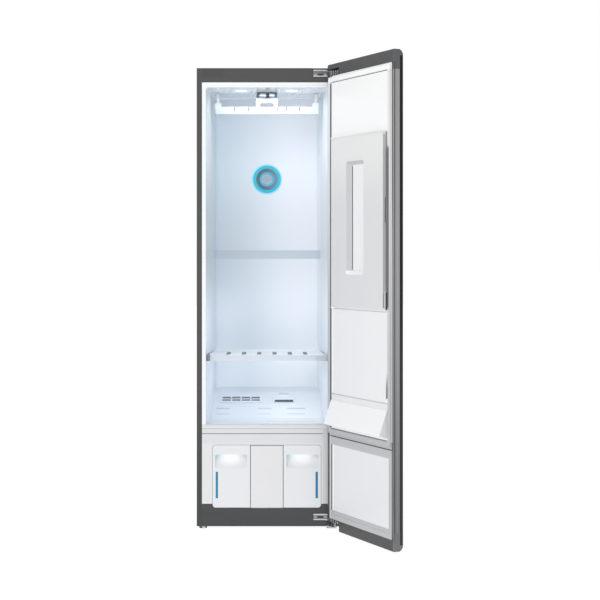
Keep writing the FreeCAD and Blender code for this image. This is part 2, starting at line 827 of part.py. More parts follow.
def tank_vessel():
    x0, x1, z0, z1 = tank_limits()
    x0 += vessel_side_gap
    x1 -= vessel_edge_gap
    z1 -= vessel_top_gap
    floor = z0 + 1
    step = grip_bottom - 6
    y_mid = grip_depth + 2
    w = tank_wall
    low = box(x0, x1, tank_front_thick, tank_length, floor, step)
    high = box(x0, x1, y_mid, tank_length, floor, z1)
    body = round_off(join(low, high), V(0, 1, 0), row_corner, lambda p: p.x > x1 - 1 and p.z < floor + 1)
    low_in = box(x0 + w, x1 - w, tank_front_thick + w, tank_length - w, floor + w, step - w)
    high_in = box(x0 + w, x1 - w, y_mid + w, tank_length - w, floor + w, z1 - w)
    room = round_off(join(low_in, high_in), V(0, 1, 0), row_corner - w,
                     lambda p: p.x > x1 - w - 1 and p.z < floor + w + 1)
    runners = []
    for x in (x0 + 12, x1 - 30):
        runners.append(box(x, x + 6, y_mid, tank_length, tank_bottom + play, floor + 1))
    body = join(body, *runners).cut(room)
    return body.cut(rod((x0 + x1) / 2, tank_length - 60, z1 - 9, z1 + 9, 16.0))


# --------------------------------------------------------------- machinery
floor_z = foot_height + pan_wall
coil_z0 = duct_z0 + duct_wall
shaft_radius = 4.0


def air_duct():
    w = duct_wall
    body = box(duct_x0, duct_x1, duct_y0, duct_y1, duct_z0, duct_top)
    body = body.cut(box(duct_x0 + w, duct_x1 - w, duct_y0 + w, duct_y1 - w, coil_z0, duct_top - w))
    y0 = slope_part_front + 5
    y1 = slope_part_back - 5
    body = body.cut(box(-filter_out + 4, -filter_in - 4, y0, y1, duct_top - 9, duct_top + 9))
    body = body.cut(box(outlet_in + 7, outlet_out - 7, y0 + 3, y1 - 3, duct_top - 9, duct_top + 9))
    legs = []
    for x in (duct_leg_x, duct_x1 - 10):
        legs.append(box(x, x + 6, duct_y0, duct_y1, floor_z, duct_z0))
    return join(body, *legs)


def coil(x0):
    x1 = x0 + coil_thick
    block = box(x0, x1, duct_y0 + 8, duct_y1 - 8, coil_z0, duct_top - 50)
    pitch = 9.0
    count = int((duct_y1 - duct_y0 - 24) / pitch)
    gaps = []
    for i in range(count):
        y = duct_y0 + 14 + i * pitch
        gaps.append(box(x0 - 1, x1 + 1, y, y + 5.5, coil_z0 + 4, duct_top - 54))
    return block.cut(gaps)


def blower_wheel():
    y0 = duct_y0 + 30
    y1 = y0 + 60
    r = blower_radius
    disc = rod_y(blower_x, blower_z, y1 - 3, y1, r)
    hub = rod_y(blower_x, blower_z, y0 + 15, y1, 12.0)
    ring = rod_y(blower_x, blower_z, y0, y0 + 3, r)
    ring = ring.cut(rod_y(blower_x, blower_z, y0 - 1, y0 + 4, r - 15))
    blades = []
    count = 18
    for i in range(count):
        blade = box(blower_x - 1.2, blower_x + 1.2, y0 + 1, y1 - 1, blower_z + r - 14, blower_z + r - 0.8)
        blade.rotate(V(blower_x, 0, blower_z + r - 8), V(0, 1, 0), 32.0)
        blade = blade.common(rod_y(blower_x, blower_z, y0, y1, r - 0.3))
        blade.rotate(V(blower_x, 0, blower_z), V(0, 1, 0), 360.0 * i / count)
        blades.append(blade)
    wheel = join(disc, hub, ring, *blades)
    return wheel.cut(rod_y(blower_x, blower_z, y0 - 1, y1 + 1, shaft_radius + bore_play))


def blower_motor():
    y1 = duct_y1 - duct_wall
    y0 = y1 - motor_length
    can = rod_y(blower_x, blower_z, y0, y1, motor_radius)
    can = can.makeFillet(4.0, [e for e in can.Edges if len(e.Vertexes) == 1 and e.CenterOfMass.y < y0 + 10])
    shaft = rod_y(blower_x, blower_z, duct_y0 + 50, y0 + 10, shaft_radius)
    return join(can, shaft)


def compressor():
    """Hollow can on a foot plate, with its port on top."""
    x = compressor_x
    y = duct_y0 + duct_depth / 2 - 1
    r = compressor_radius
    z0 = floor_z + 14
    z1 = z0 + compressor_height
    can = rod(x, y, z0, z1, r)
    can = can.makeFillet(26.0, [e for e in can.Edges if len(e.Vertexes) == 1])
    plate = box(x - r, x + r, y - r + 6, y + r - 6, z0 - 2, z0 + 4)
    feet = [rod(x + a * (r - 12), y + b * (r - 18), floor_z, z0, 9.0) for a in (-1, 1) for b in (-1, 1)]
    port = rod(x + 20, y, z1 - 11, z1 + 20, 5.0)
    body = join(can, plate, port, *feet)
    room = rod(x, y, z0 + 5, z1 - 5, r - 5)
    room = room.makeFillet(22.0, [e for e in room.Edges if len(e.Vertexes) == 1])
    return body.cut(room).cut(rod(x + 20, y, z1 - 26, z1 + 23, 3.0))


def steam_generator():
    x0 = boiler_x
    x1 = x0 + boiler_width
    y0 = tank_length + 30
    y1 = y0 + boiler_depth
    z1 = floor_z + 12 + boiler_height
    case = box(x0, x1, y0, y1, floor_z + 12, z1)
    case = round_off(case, V(0, 0, 1), 12.0, lambda p: True)
    feet = [rod(x, y, floor_z, floor_z + 14, 8.0) for x in (x0 + 20, x1 - 20) for y in (y0 + 20, y1 - 20)]
    spout = rod((x0 + x1) / 2, (y0 + y1) / 2, z1 - 2, z1 + 28, 9.0)
    return join(case, spout, *feet)


def pump(x, y1):
    """Pump with its motor on top; y1 is its back."""
    z0 = floor_z
    deep = 2 * pump_half - 8
    z1 = z0 + pump_block_height
    block = box(x - pump_half, x + pump_half, y1 - deep, y1, z0, z1)
    head = rod(x, y1 - deep / 2, z1 - 2, z0 + pump_height, pump_half - 6)
    nozzle = rod_y(x, (z0 + z1) / 2, y1 - deep - 16, y1 - deep + 2, 5.0)
    return join(block, head, nozzle)


def control_box():
    z0 = ceiling + liner_wall
    x0 = control_x
    x1 = x0 + control_width
    y1 = chamber_depth
    y0 = y1 - control_depth
    case = box(x0, x1, y0, y1, z0, z0 + control_height)
    case = round_off(case, V(0, 0, 1), 6.0, lambda p: True)
    lid = box(x0 - 3, x1 + 3, y0 - 3, y1 + 3, z0 + control_height - 4, z0 + control_height + 2)
    return join(case, lid)


def power_inlet():
    y1 = body_depth
    neck = rod_y(inlet_x, inlet_z, y1 - 14, y1 + 3, inlet_radius)
    flange = rod_y(inlet_x, inlet_z, y1, y1 + 3, inlet_radius + 4)
    nut = rod_y(inlet_x, inlet_z, y1 - 6, y1 - sheet, inlet_radius + 5)
    body = join(neck, flange, nut)
    return body.cut(rod_y(inlet_x, inlet_z, y1 - 20, y1 + 9, 5.0))


# -------------------------------------------------------------- door hinges
pivot_x = pivot.x
pivot_y = pivot.y
arm_top_z = height - 20.0
arm_low_z = foot_height - 2.0
pin_length = 14.0
boss_radius = 12.0


def hinge_arm(root, z0):
    """Flat arm from the points of its root to the boss round the hinge pin."""
    r = hinge_arm_radius
    d = 0.7 * r
    arm = prism_z(root + [(pivot_x + d, pivot_y + d), (pivot_x - d, pivot_y - d)], z0, z0 + hinge_arm_thick)
    return arm.fuse(rod(pivot_x, pivot_y, z0, z0 + hinge_arm_thick, r))


def leaf_screw_z(top):
    z0, z1 = leaf_z(top)
    return z0 + 8.0 if top else (z0 + z1) / 2


def hinge_leaf(top):
    """Leaf with an oblong slot between its screws."""
    z0, z1 = leaf_z(top)
    leaf = box(leaf_x0, leaf_x1, 0, leaf_thick, z0, z1)
    z = leaf_screw_z(top)
    h = leaf_slot_height / 2
    slot = box(leaf_x0 + leaf_slot_end, leaf_x1 - leaf_slot_end, -1, leaf_thick + 1, z - h, z + h)
    return leaf.cut(round_off(slot, V(0, 1, 0), h - 0.1, lambda p: True))


def hinge_bracket_top():
    leaf = hinge_leaf(True)
    arm = hinge_arm([(leaf_x0 + 14, 0), (leaf_x1, 0)], arm_top_z)
    pin = rod(pivot_x, pivot_y, arm_top_z - pin_length, arm_top_z + 1, hinge_pin_radius)
    return join(leaf, arm, pin)


def hinge_bracket_bottom():
    """Leaf with a riser down to an arm that passes under the door, stiffened by a sloping gusset."""
    z0 = leaf_z(False)[0]
    leaf = hinge_leaf(False)
    x0 = leaf_x1 - riser_width
    riser = box(x0, leaf_x1, 0, leaf_thick, arm_low_z, z0 + 1)
    arm = hinge_arm([(x0, 0), (leaf_x1, 0)], arm_low_z)
    top = arm_low_z + hinge_arm_thick
    pin = rod(pivot_x, pivot_y, top - 1, top + pin_length, hinge_pin_radius)
    root = V(x0 + riser_width / 2, 0, 0)
    run = V(pivot_x, pivot_y, 0).sub(root)
    reach = run.Length - boss_radius - 3
    run.normalize()
    tip = root + run * reach
    outline = [V(root.x, root.y, top - 1), V(root.x, root.y, z0), V(tip.x, tip.y, top + 1), V(tip.x, tip.y, top - 1)]
    side = V(-run.y, run.x, 0)
    web = Part.Face(Part.makePolygon(outline + outline[:1])).extrude(side * gusset_thick)
    web.translate(side * (-gusset_thick / 2))
    return join(leaf, riser, arm, pin, web)


def hinge_screws():
    heads = []
    for top in (False, True):
        z = leaf_screw_z(top)
        for x in (leaf_x0 + 9, leaf_x1 - 9):
            head = rod_y(x, z, -1.5, 0, 3.8)
            drive = box(x - 2.6, x + 2.6, -2.0, -0.7, z - 0.6, z + 0.6)
            heads.append(head.cut(drive))
    return Part.makeCompound(heads)


def door_hinge_block(top):
    """Metal block in the cap's notch that turns on the pin, grooved along its inner face."""
    x0 = half - notch_length + block_gap
    x1 = half - 2
    y1 = face_y - liner_thick
    if top:
        z0 = cap_high + block_slit
        z1 = arm_top_z - play
    else:
        z0 = block_step
        z1 = cap_low - block_slit
    block = box(x0, x1, notch_y, y1, z0, z1)
    block = round_off(block, V(0, 0, 1), 5.0, lambda p: p.x > x1 - 1)
    mid = (z0 + z1) / 2
    block = block.cut(box(x0 + 8, pivot_x - boss_radius, y1 - 4, y1 + 1, mid - 1.5, mid + 1.5))
    if not top:
        low = arm_low_z + hinge_arm_thick + play
        boss = rod(pivot_x, pivot_y, low, z0 + 1, boss_radius)
        block = join(block, boss.common(box(x0, x1, notch_y, y1, low, z1)))
    return block.cut(rod(pivot_x, pivot_y, 0, height, hinge_pin_radius + bore_play))


# --------------------------------------------------------------------- door
def door_glass():
    """Outer pane with a dark frame bonded behind its edge, cut away for the hinges."""
    z0 = door_bottom + edge_round
    z1 = door_top - edge_round
    x = half - rail_width
    pane = box(-half, half, outer_y, glass_y, z0, z1)
    trim = box(-half, half, glass_y, trim_y, z0, z1)
    trim = trim.cut(box(-x, x, glass_y, trim_y, cap_low, cap_high))
    body = join(pane, trim)
    return body.cut([hinge_notch(True), hinge_notch(False)])


def hinge_notch(top):
    x0 = half - notch_length
    if top:
        return box(x0, half + 1, notch_y, 1, cap_high, door_top - notch_roof)
    return box(x0, half + 1, notch_y, 1, door_bottom - 1, cap_low)


def end_cap(inner, outer, leg):
    """Cap at a door's end: it wraps round the pane's end, and a leg of it meets the free side's rail."""
    away = 1 if outer > inner else -1
    lip = outer - away * edge_round
    body = box(-half, half, trim_y, face_y, min(inner, outer), max(inner, outer))
    roof = box(-half, half, outer_y, face_y, min(lip, outer), max(lip, outer))
    roof = round_off(roof, V(1, 0, 0), edge_round - 2, lambda p: p.y < outer_y + 1 and abs(p.z - outer) < 1)
    foot = inner - away * leg
    side = rail_bar(min(inner, foot), max(inner, foot))
    cap = join(body, roof, mirror_x(side))
    if away > 0:
        outline = box(-half - 1, half, outer_y - 1, 1, foot - 1, outer)
        cap = cap.common(round_off(outline, V(0, 1, 0), cap_corner, lambda p: p.x > 0 and p.z > inner))
    return cap.cut(hinge_notch(away > 0))


def rail_bar(z0, z1):
    """Bar down the door's long side: a body, and a thin ridge along its outer edge over a groove."""
    x0 = half - rail_width
    y1 = face_y - skirt
    bar = box(x0, half, trim_y, y1, z0, z1)
    ridge = box(half - ridge_width, half, y1 - 1, face_y - ridge_gap, z0, z1)
    groove = box(half - rail_wall, half + 1, y1 + 0.5, face_y - ridge_gap - ridge_lip, z0 - 1, z1 + 1)
    return join(bar, ridge).cut(groove)


def door_rail(z0, z1):
    w = rail_wall
    room = box(half - rail_width + w, half - 2 * w, trim_y + w, face_y - skirt - w, z0 - 1, z1 + 1)
    return rail_bar(z0, z1).cut(room)


def plug_solid(inset, y0):
    """Raised field of the liner, drawn in by inset on its face and sides."""
    x = plug_half - inset
    field = box(-x, x, y0, plug_y - inset, plug_bottom + inset, cap_high - plug_top_gap - inset)
    return round_off(field, V(0, 1, 0), 10.0 - inset, lambda p: True)


def door_core():
    x = half - rail_width
    y1 = face_y - liner_thick
    low = box(-x, x, glass_y, y1 - 2, cap_low, door_split)
    high = box(-x, x, glass_y, y1, door_split, cap_high)
    core = join(low, high, plug_solid(liner_thick, y1 - 1))
    return core.cut(box(-half, half, y1 - 8, face_y, door_split - split_gap, door_split + split_gap / 2))


def liner_plate(z0, z1):
    x = half - liner_inset
    plate = box(-x, x, face_y - liner_thick, face_y, z0, z1)
    edge = box(half - rail_width, x, face_y - skirt, face_y, z0, z1)
    return join(plate, edge, mirror_x(edge))


def door_liner_upper():
    z0 = door_split + split_gap / 2
    panel = liner_plate(z0, cap_high)
    panel = join(panel, plug_solid(0, face_y - 1))
    return panel.cut(plug_solid(liner_thick, face_y - liner_thick - 1))


def door_liner_lower():
    z1 = door_split - split_gap / 2
    frame = liner_plate(cap_low, z1)
    x = inset_half + 0.5
    opening = box(-x, x, face_y - 20, 1, inset_bottom - 0.5, inset_top + 0.5)
    opening = round_off(opening, V(0, 1, 0), 5.0, lambda p: True)
    seam = box(-half, half, face_y - 1, face_y + 1, frame_seam - 1, frame_seam + 1)
    return frame.cut(opening).cut(seam)


def door_inset_panel():
    y = face_y - liner_thick
    back = box(-inset_half - 7, inset_half + 7, y - 2, y, inset_bottom - 7, inset_top + 7)
    face = box(-inset_half, inset_half, y - 1, y + 1.3, inset_bottom, inset_top)
    face = round_off(face, V(0, 1, 0), 4.5, lambda p: True)
    return join(back, face)


def door_gasket():
    x = plug_half + gasket_groove
    z0 = plug_bottom - gasket_groove
    z1 = cap_high - plug_top_gap + gasket_groove
    w = gasket_width
    outer = box(-x - w, x + w, face_y, -gasket_clear, z0 - w, z1 + w)
    outer = round_off(outer, V(0, 1, 0), 8.0, lambda p: True)
    inner = box(-x, x, face_y - 1, 1, z0, z1)
    return outer.cut(round_off(inner, V(0, 1, 0), 10.0, lambda p: True))


# ------------------------------------------------------------ trouser press
press_top = press_bottom + press_height
base_y = plug_y + press_base_thick
press_y0 = base_y + press_gap
press_axis_y = press_y0 + press_thick / 2


def press_base():
    z0 = press_bottom - 9
    z1 = press_top + 9
    plate = box(-press_free_x + 3, press_axis_x + 20, plug_y, base_y, z0, z1)
    plate = round_off(plate, V(0, 1, 0), 8.0, lambda p: True)
    parts = [plate]
    for a, b, pin0, pin1 in ((z0, z0 + 8, z0 + 1, press_bottom + 14), (z1 - 8, z1, press_top - 14, z1 - 1)):
        lug = box(press_axis_x - 8, press_axis_x + 8, base_y - 1, press_axis_y, a, b)
        parts.append(lug.fuse(rod(press_axis_x, press_axis_y, a, b, 8.0)))
        parts.append(rod(press_axis_x, press_axis_y, pin0, pin1, press_pin_radius))
    return join(*parts)


def rounded_outline(x0, x1, z0, z1, y, r):
    """Rectangle in the plane of one y, with rounded corners."""
    k = r * (1 - math.sqrt(0.5))
    edges = []
    for a, b, mid, c in (
            (V(x0 + r, y, z0), V(x1 - r, y, z0), V(x1 - k, y, z0 + k), V(x1, y, z0 + r)),
            (V(x1, y, z0 + r), V(x1, y, z1 - r), V(x1 - k, y, z1 - k), V(x1 - r, y, z1)),
            (V(x1 - r, y, z1), V(x0 + r, y, z1), V(x0 + k, y, z1 - k), V(x0, y, z1 - r)),
            (V(x0, y, z1 - r), V(x0, y, z0 + r), V(x0 + k, y, z0 + k), V(x0 + r, y, z0))):
        edges += [Part.makeLine(a, b), Part.Arc(b, mid, c).toShape()]
    return Part.Wire(edges)


def press_slot(grow, y0, y1):
    """Window through the cover; its hinge side, top and foot slope in towards the base."""
    deep = (press_y0 - y0) / press_thick
    rise = (y1 - press_y0 - press_thick) / press_thick

    def outline(y, t):
        x0 = -slot_free_x - grow
        x1 = slot_hinge_x + grow - slot_slope * t
        z0 = slot_bottom - grow + slot_low_slope * t
        z1 = slot_top + grow - slot_top_slope * t
        return rounded_outline(x0, x1, z0, z1, y, slot_corner + grow)

    return Part.makeLoft([outline(y0, 1 + deep), outline(y1, -rise)], True, True)


def press_cover():
    x0 = -press_free_x
    r = press_thick / 2
    y0 = press_y0
    y1 = y0 + press_thick
    plate = box(x0, press_axis_x, y0, y1, press_bottom, press_top)
    plate = round_off(plate, V(0, 1, 0), 8.0, lambda p: p.x < 0)
    plate = plate.fuse(rod(press_axis_x, press_axis_y, press_bottom, press_top, r))
    pocket = box(x0 + press_rim, press_axis_x - 12, y0 - 1, y1 - press_skin,
                 press_bottom + press_rim, press_top - press_rim)
    plate = plate.cut(pocket.cut(press_slot(press_rim, y0 - 2, y1)))
    plate = plate.cut(press_slot(0, y0 - 1, y1 + 1))
    latch = box(x0 - 1, x0 + 3, y0 - 1, y0 + 4, latch_bottom, latch_bottom + latch_length)
    catch = box(x0 - 1, x0 + 4, y0 - 1, y0 + 8, catch_z, catch_z + 8)
    low = box(x0 - 1, x0 + 1.5, y0 - 1, y1 - 4, press_bottom + 8, catch_z + 1)
    plate = plate.cut([latch, catch, low])
    for a, b in ((press_bottom - 1, press_bottom + 16), (press_top - 16, press_top + 1)):
        plate = plate.cut(rod(press_axis_x, press_axis_y, a, b, press_pin_radius + bore_play))
    return plate.removeSplitter()


def press_sheet():
    panel = box(-press_free_x - 6, sheet_hinge_x, plug_y, plug_y + sheet_thick, sheet_bottom, press_bottom - 12)
    panel = round_off(panel, V(0, 1, 0), 42.0, lambda p: p.x < 0 and p.z < sheet_bottom + 1)
    return round_off(panel, V(0, 1, 0), 10.0, lambda p: p.x > 0 and p.z < sheet_bottom + 1)


def drip_flap():
    y0 = plug_y
    y1 = plug_y + flap_reach
    w = flap_wall
    side = [(y0, flap_top), (y0 + w, flap_top), (y1, flap_lip_z + w), (y1, flap_lip_z), (y0 + w, flap_bottom),
            (y0, flap_bottom)]
    wedge = prism_x(side, -flap_half, flap_half)
    slim = [(y0 - 1, flap_top - 8), (y1 - 3 * w, flap_lip_z + w), (y0 - 1, flap_bottom + w)]
    wedge = wedge.cut(prism_x(slim, -flap_half + w, flap_half - w))
    return wedge


# --------------------------------------------------------------------- build
save(side_panel(), "side_panel_right")
save(mirror_x(side_panel()), "side_panel_left")
save(top_panel(), "top_panel")
save(back_panel(), "back_panel")
save(base_pan(), "base_pan")
save(foot(-1), "foot_front_left")
save(foot(1), "foot_front_right")
save(top_band(), "top_band")
save(kick_panel(), "kick_panel")
save(chamber_liner(), "chamber_liner")
save(ceiling_lamps(), "ceiling_lamps")
save(diffuser_housing(), "diffuser_housing")
save(diffuser_mesh(), "diffuser_mesh")
save(diffuser_light_ring(), "diffuser_light_ring")
save(hanger_bar(), "hanger_bar")
save(hanger_yoke(), "hanger_yoke")
save(hanger_rocker(), "hanger_rocker")
save(hanger_dome(), "hanger_dome")
save(hanger_motor(), "hanger_motor")
save(shelf(), "shelf")
save(lint_filter(), "lint_filter")
save(steam_outlet(), "steam_outlet")
save(lower_front_panel(), "lower_front_panel")
save(tank_bay(), "tank_bay")
for side in ("right", "left"):
    turn = (lambda s: s) if side == "right" else mirror_x
    save(turn(tank_front()), "tank_" + side + "_front")
    save(turn(tank_window()), "tank_" + side + "_window")
    save(turn(tank_vessel()), "tank_" + side + "_vessel")
save(air_duct(), "air_duct")
save(coil(evaporator_x), "evaporator")
save(coil(condenser_x), "condenser")
save(blower_wheel(), "blower_wheel")
save(blower_motor(), "blower_motor")
save(compressor(), "compressor")
save(steam_generator(), "steam_generator")
save(pump(water_pump_x, body_depth - 20), "water_pump")
save(pump(drain_pump_x, body_depth - 35), "drain_pump")
save(control_box(), "control_box")
save(power_inlet(), "power_inlet")
save(hinge_bracket_top(), "hinge_bracket_top")
save(hinge_bracket_bottom(), "hinge_bracket_bottom")
save(hinge_screws(), "hinge_screws")
save_door(door_hinge_block(True), "door_hinge_block_top")
save_door(door_hinge_block(False), "door_hinge_block_bottom")
save_door(door_glass(), "door_glass")
save_door(end_cap(cap_high, door_top, cap_leg), "door_top_cap")
save_door(end_cap(cap_low, door_bottom, cap_leg), "door_bottom_cap")
save_door(door_rail(cap_low, cap_high), "door_rail_hinge")
save_door(mirror_x(door_rail(cap_low + cap_leg, cap_high - cap_leg)), "door_rail_free")
save_door(door_core(), "door_core")
save_door(door_liner_upper(), "door_liner_upper")
save_door(door_liner_lower(), "door_liner_lower")
save_door(door_inset_panel(), "door_inset_panel")
save_door(door_gasket(), "door_gasket")
save_door(press_base(), "press_base")
save_door(press_cover(), "press_cover")
save_door(press_sheet(), "press_sheet")
save_door(drip_flap(), "drip_flap")
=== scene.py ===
import math

import bpy
from mathutils import Matrix, Vector


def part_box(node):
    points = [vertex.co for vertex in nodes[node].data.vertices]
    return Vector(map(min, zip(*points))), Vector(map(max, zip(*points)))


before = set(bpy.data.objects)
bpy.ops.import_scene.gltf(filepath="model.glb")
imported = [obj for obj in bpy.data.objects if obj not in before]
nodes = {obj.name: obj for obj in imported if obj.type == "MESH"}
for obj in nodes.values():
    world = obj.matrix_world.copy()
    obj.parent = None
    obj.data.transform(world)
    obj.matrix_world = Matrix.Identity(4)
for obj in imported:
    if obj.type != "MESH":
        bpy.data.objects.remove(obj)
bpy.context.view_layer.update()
scene = bpy.context.scene

# The cabinet's front plane, and the door's hinge line and opening angle.
front_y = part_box("lower_front_panel")[0][1]
hinge_x = 0.286
hinge_y = -0.034                    # from the front plane
door_turn = math.radians(113.5)

# What every finish shares.
noise_detail = 4.0
relief_depth = 0.0005
rough_spread = 0.05                 # roughness that the grain adds or takes
soft_edge = 0.0004                  # half the blur of a painted edge

# Places that several finishes share, in metres: X from the middle, Y back from the front plane,
# Z up from the floor. Those on the door are measured with the door shut.
diffuser_xz = (0.0, 1.510)          # middle of the round fitting on the back wall
tank_x = 0.151                      # middle of a tank's front
rail_face = -0.2905                 # outer face of the free rail
liner_side = -0.2788                # side of the door's liners
field_half = 0.2545                 # half the width of the raised field
field_z = (0.4395, 1.8885)          # foot and head of the raised field
field_line = 0.004                  # width of the line round it
gasket_top = 1.892
press_side = -0.2517                # side of the press cover
base_side = -0.2485                 # side of the press base
press_z = (0.957, 1.590, 0.01)      # foot and head of the press, and their softness
press_foot = (1.022, 1.016)         # where the shade at the foot of the press begins


# ---------------------------------------------------------------- materials
def linear(code):
    """Scene colour of a #rrggbb code."""
    out = []
    for i in (1, 3, 5):
        v = int(code[i:i + 2], 16) / 255
        out.append(v / 12.92 if v <= 0.04045 else ((v + 0.055) / 1.055) ** 2.4)
    return (*out, 1.0)


def scaled(colour, k):
    return (*(min(1.0, c * k) for c in colour[:3]), 1.0)


class Finish:
    """A node material: a base colour with fine grain, then regions painted over it by position."""

    def __init__(self, name, colour, rough=0.4, metal=0.0, grain=0.03, grain_size=90.0, bump=0.02,
                 coat=0.0, stretch=(1, 1, 1), door=False):
        self.mat = bpy.data.materials.new(name)
        self.mat.use_nodes = True
        self.tree = self.mat.node_tree
        self.shader = self.tree.nodes["Principled BSDF"]
        place = self.measured(door)
        self.axes = self.node("ShaderNodeSeparateXYZ")
        self.link(place, self.axes.inputs[0])
        spread = self.node("ShaderNodeMapping")
        spread.inputs["Scale"].default_value = stretch
        self.link(place, spread.inputs["Vector"])
        noise = self.node("ShaderNodeTexNoise")
        noise.inputs["Scale"].default_value = grain_size
        noise.inputs["Detail"].default_value = noise_detail
        self.link(spread.outputs[0], noise.inputs["Vector"])
        self.grain = noise.outputs["Fac"]
        base = linear(colour)
        self.colour = self.mix(self.grain, scaled(base, 1 - grain), scaled(base, 1 + grain))
        rough_map = self.node("ShaderNodeMapRange")
        rough_map.inputs["To Min"].default_value = rough - rough_spread
        rough_map.inputs["To Max"].default_value = rough + rough_spread
        self.link(self.grain, rough_map.inputs["Value"])
        self.rough = rough_map.outputs[0]
        self.shader.inputs["Metallic"].default_value = metal
        self.shader.inputs["Coat Weight"].default_value = coat
        if bump:
            relief = self.node("ShaderNodeBump")
            relief.inputs["Strength"].default_value = bump
            relief.inputs["Distance"].default_value = relief_depth
            self.link(self.grain, relief.inputs["Height"])
            self.link(relief.outputs[0], self.shader.inputs["Normal"])
        self.glow = None

    def measured(self, door):
        """Position from the front plane; on the door, as if the door were shut."""
        turn = -door_turn if door else 0.0
        shift = Vector((0.0, -front_y, 0.0))
        if door:
            at = Vector((hinge_x, front_y + hinge_y, 0.0))
            shift = Vector((hinge_x, hinge_y, 0.0)) - Matrix.Rotation(turn, 3, "Z") @ at
        place = self.node("ShaderNodeMapping")
        place.inputs["Rotation"].default_value = (0.0, 0.0, turn)
        place.inputs["Location"].default_value = shift
        self.link(self.node("ShaderNodeTexCoord").outputs["Object"], place.inputs["Vector"])
        return place.outputs[0]

    def node(self, kind):
        return self.tree.nodes.new(kind)

    def link(self, a, b):
        self.tree.links.new(a, b)

    def feed(self, value, socket):
        if isinstance(value, (int, float, tuple)):
            socket.default_value = value
        else:
            self.link(value, socket)

    def mix(self, fac, a, b, blend="MIX"):
        n = self.node("ShaderNodeMix")
        n.data_type = "RGBA"
        n.blend_type = blend
        self.feed(fac, n.inputs[0])
        self.feed(a, n.inputs[6])
        self.feed(b, n.inputs[7])
        return n.outputs[2]

    def calc(self, kind, a, b=0.0, c=0.0):
        n = self.node("ShaderNodeMath")
        n.operation = kind
        for value, socket in zip((a, b, c), n.inputs):
            self.feed(value, socket)
        return n.outputs[0]

    # masks: 1 inside a region, 0 outside
    def ramp(self, value, lo, hi):
        """Smooth step that is 0 at lo and 1 at hi; lo may be the larger."""
        n = self.node("ShaderNodeMapRange")
        n.interpolation_type = "SMOOTHSTEP"
        self.feed(value, n.inputs["Value"])
        n.inputs["From Min"].default_value = lo
        n.inputs["From Max"].default_value = hi
        return n.outputs[0]

    def axis(self, name):
        return self.axes.outputs["XYZ".index(name)]

    def within(self, axis, lo, hi, soft=soft_edge):
        value = self.axis(axis)
        rise = self.ramp(value, lo - soft, lo + soft)
        fall = self.ramp(value, hi - soft, hi + soft)
        return self.calc("SUBTRACT", rise, fall)

    def above(self, axis, lo, hi=None):
        """Beyond a level; two levels give a soft step from the first to the second."""
        return self.ramp(self.axis(axis), lo, lo + soft_edge if hi is None else hi)

    def below(self, axis, hi, lo=None):
        return self.ramp(self.axis(axis), hi, hi - soft_edge if lo is None else lo)

    def both(self, *masks):
        out = masks[0]
        for m in masks[1:]:
            out = self.calc("MULTIPLY", out, m)
        return out

    def either(self, *masks):
        out = masks[0]
        for m in masks[1:]:
            out = self.calc("MAXIMUM", out, m)
        return out

    def around(self, first, second, at, radii):
        """Distance from a point in the plane of two axes, in units of the radii."""
        squares = []
        for axis, c, r in zip((first, second), at, radii):
            d = self.calc("MULTIPLY_ADD", self.axis(axis), 1 / r, -c / r)
            squares.append(self.calc("MULTIPLY", d, d))
        return self.calc("SQRT", self.calc("ADD", *squares))

    # changes of the finish, where every mask is 1 and the place is within every axis span
    def region(self, masks, spans):
        return self.both(*masks, *(self.within(axis, *span) for axis, span in spans.items()))

    def paint(self, colour, *masks, **spans):
        """For example paint("#808a93", a_mask, X=(lo, hi), Z=(lo, hi))."""
        self.colour = self.mix(self.region(masks, spans), self.colour, linear(colour))

    def dim(self, k, *masks, **spans):
        """Multiplies the colour by k."""
        where = self.region(masks, spans)
        self.colour = self.mix(where, self.colour, (k, k, k, 1.0), "MULTIPLY")

    def polish(self, rough, *masks, **spans):
        """Sets the roughness."""
        change = self.calc("SUBTRACT", rough, self.rough)
        self.rough = self.calc("MULTIPLY_ADD", self.region(masks, spans), change, self.rough)

    def light(self, colour, strength, mask=1.0):
        """Gives off light, with one mask at most."""
        self.shader.inputs["Emission Strength"].default_value = strength
        self.glow = self.mix(mask, (0, 0, 0, 1), linear(colour))

    def done(self):
        self.link(self.colour, self.shader.inputs["Base Color"])
        self.link(self.rough, self.shader.inputs["Roughness"])
        if self.glow is not None:
            self.link(self.glow, self.shader.inputs["Emission Color"])
        return self.mat


def dress(finish, *names):
    """Puts the finish on pieces of the frame."""
    material = finish.done()
    for name in names:
        mesh = nodes[name]
        for slot in mesh.material_slots:
            slot.link = "OBJECT"
            slot.material = material
        if not mesh.material_slots:
            mesh.data.materials.append(material)


def soften(width, *names):
    """Rounds every edge that bends more than 40 degrees."""
    for name in names:
        mod = nodes[name].modifiers.new("edge", "BEVEL")
        mod.width = width
        mod.segments = 2
        mod.limit_method = "ANGLE"
        mod.angle_limit = math.radians(40)
        mod.harden_normals = True


# surfaces that several finishes share
gloss = dict(rough=0.36, grain=0.012, grain_size=80, bump=0.01, coat=0.1)
sheen = dict(rough=0.4, grain=0.012, grain_size=80, bump=0.01, coat=0.05, door=True)
matt = dict(rough=0.42, grain=0.012, grain_size=90, bump=0.01, door=True)
satin = dict(rough=0.3, metal=0.8, grain=0.08, grain_size=150, bump=0.03)

# dark outer steel, darker towards the floor as painted shade
steel = Finish("dark_steel", "#444546", rough=0.42, grain=0.05, grain_size=220, bump=0.05)
steel.paint("#393b3c", steel.below("Z", 0.6, 0.2))
dress(steel, "side_panel_left", "side_panel_right", "top_panel", "back_panel")
